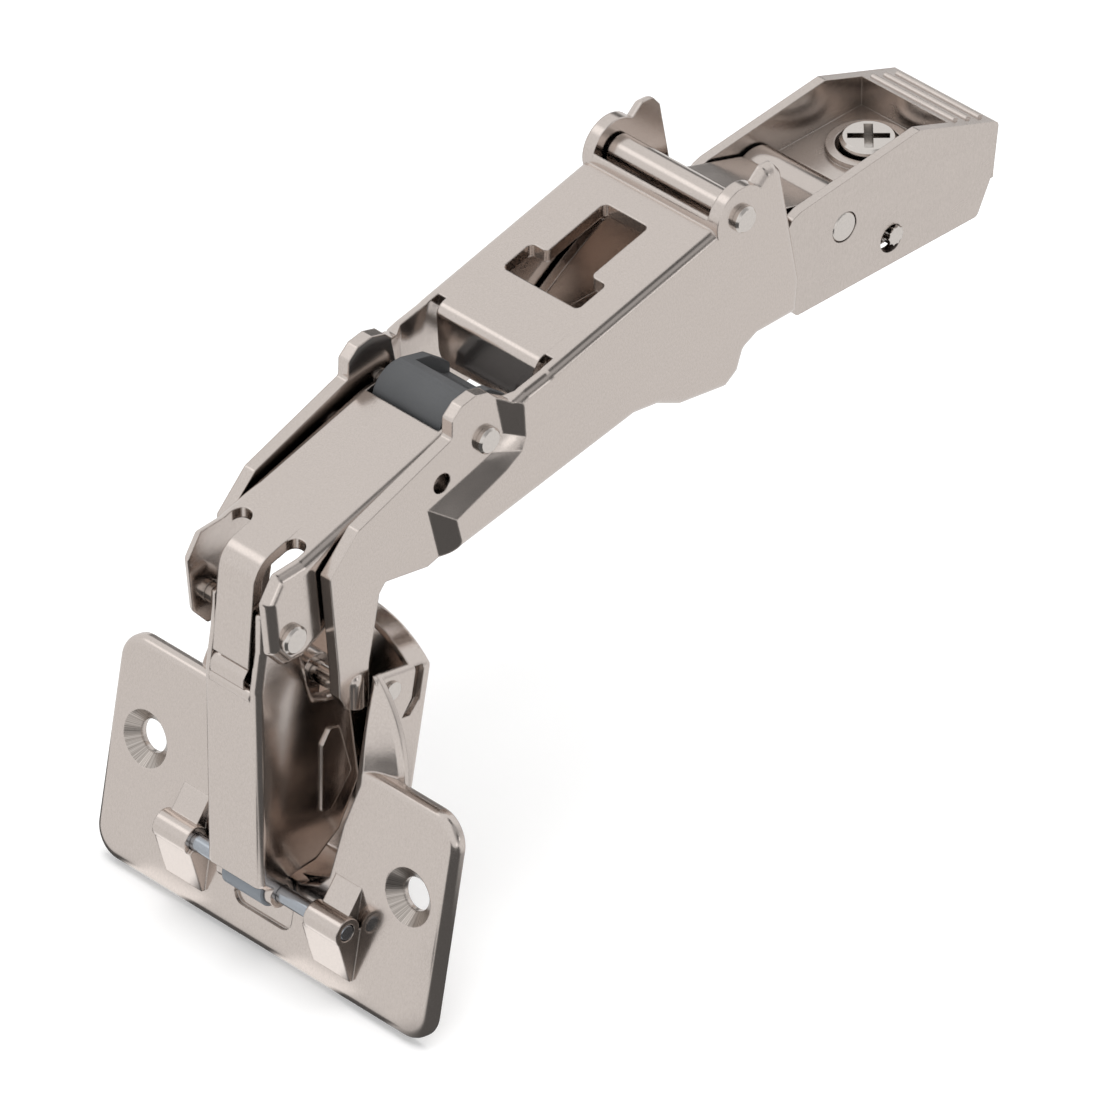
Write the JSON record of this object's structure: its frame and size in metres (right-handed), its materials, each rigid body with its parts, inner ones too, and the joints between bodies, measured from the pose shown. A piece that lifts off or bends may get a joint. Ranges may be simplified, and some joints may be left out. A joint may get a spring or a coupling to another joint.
{
  "type": "concealed cup hinge",
  "caption": "Clip-on concealed cup hinge with a wide opening angle, in nickel-plated steel with a cast clip lever, shown with the door fully open.",
  "frame": {"origin": "midway between the flange's two screw holes, on the plane where the flange meets the door", "axes": "X runs along the pivots, Y into the cabinet, Z away from the side panel towards the open room"},
  "size_m": [0.0576, 0.1228, 0.0822],
  "materials": {
    "plated_steel": "satin nickel plate",
    "cast_zinc": "nickel-plated zinc casting",
    "bright_steel": "polished steel",
    "spring_steel": "plain spring steel",
    "grey_plastic": "moulded, fine matt"
  },
  "bodies": {
    "base": {"base_plate": "plated_steel", "clip_pin": "bright_steel", "latch_pin": "bright_steel", "clip_spring": "spring_steel"},
    "arm": {"arm_body": "plated_steel", "main_pin": "bright_steel", "tilt_pin": "bright_steel"},
    "lever": {"main_lever": "plated_steel", "link_pin": "bright_steel", "cam_block": "grey_plastic"},
    "link": {"front_link": "plated_steel", "pin_bushes": "grey_plastic"},
    "inner": {"inner_lever": "plated_steel", "tip_pin": "bright_steel"},
    "cup": {"cup": "plated_steel", "cup_stakes": "bright_steel", "front_pin": "bright_steel"},
    "clip": {"clip_lever": "cast_zinc"},
    "screw": {"depth_screw": "bright_steel", "depth_cam": "cast_zinc"}
  },
  "joints": [
    {"name": "arm_tilt", "type": "hinge", "parent": "base", "child": "arm", "pos_m": [0, 0.06553, 0.05984], "axis": [-1, 0, 0], "range_deg": [-1.2, 1.2]},
    {"name": "main_fold", "type": "hinge", "parent": "arm", "child": "lever", "pos_m": [0, 0.02423, 0.04724], "axis": [-1, 0, 0], "range_deg": [0, 130]},
    {"name": "link_fold", "type": "hinge", "parent": "lever", "child": "link", "pos_m": [0, -0.00577, 0.03244], "axis": [-1, 0, 0], "range_deg": [-89, 0]},
    {"name": "cup_fold", "type": "hinge", "parent": "link", "child": "cup", "pos_m": [0, -0.00527, -0.00666], "axis": [-1, 0, 0], "range_deg": [0, 128]},
    {"name": "inner_fold", "type": "hinge", "parent": "link", "child": "inner", "pos_m": [0, -0.00527, -0.00666], "axis": [-1, 0, 0], "range_deg": [0, 131]},
    {"name": "clip_release", "type": "hinge", "parent": "base", "child": "clip", "pos_m": [0, 0.08623, 0.04734], "axis": [1, 0, 0], "range_deg": [0, 5], "stiffness_Nm_per_rad": 0.3, "springref_deg": -5.73},
    {"name": "depth_turn", "type": "hinge", "parent": "base", "child": "screw", "pos_m": [0, 0.09923, 0.04734], "axis": [0, 0, 1], "range_deg": [-150, 150]}
  ],
  "couplings": [
    {"joint": "link_fold", "follows": "main_fold", "ratio": -0.68},
    {"joint": "cup_fold", "follows": "main_fold", "ratio": 0.98},
    {"joint": "inner_fold", "follows": "main_fold", "ratio": 1.005}
  ]
}
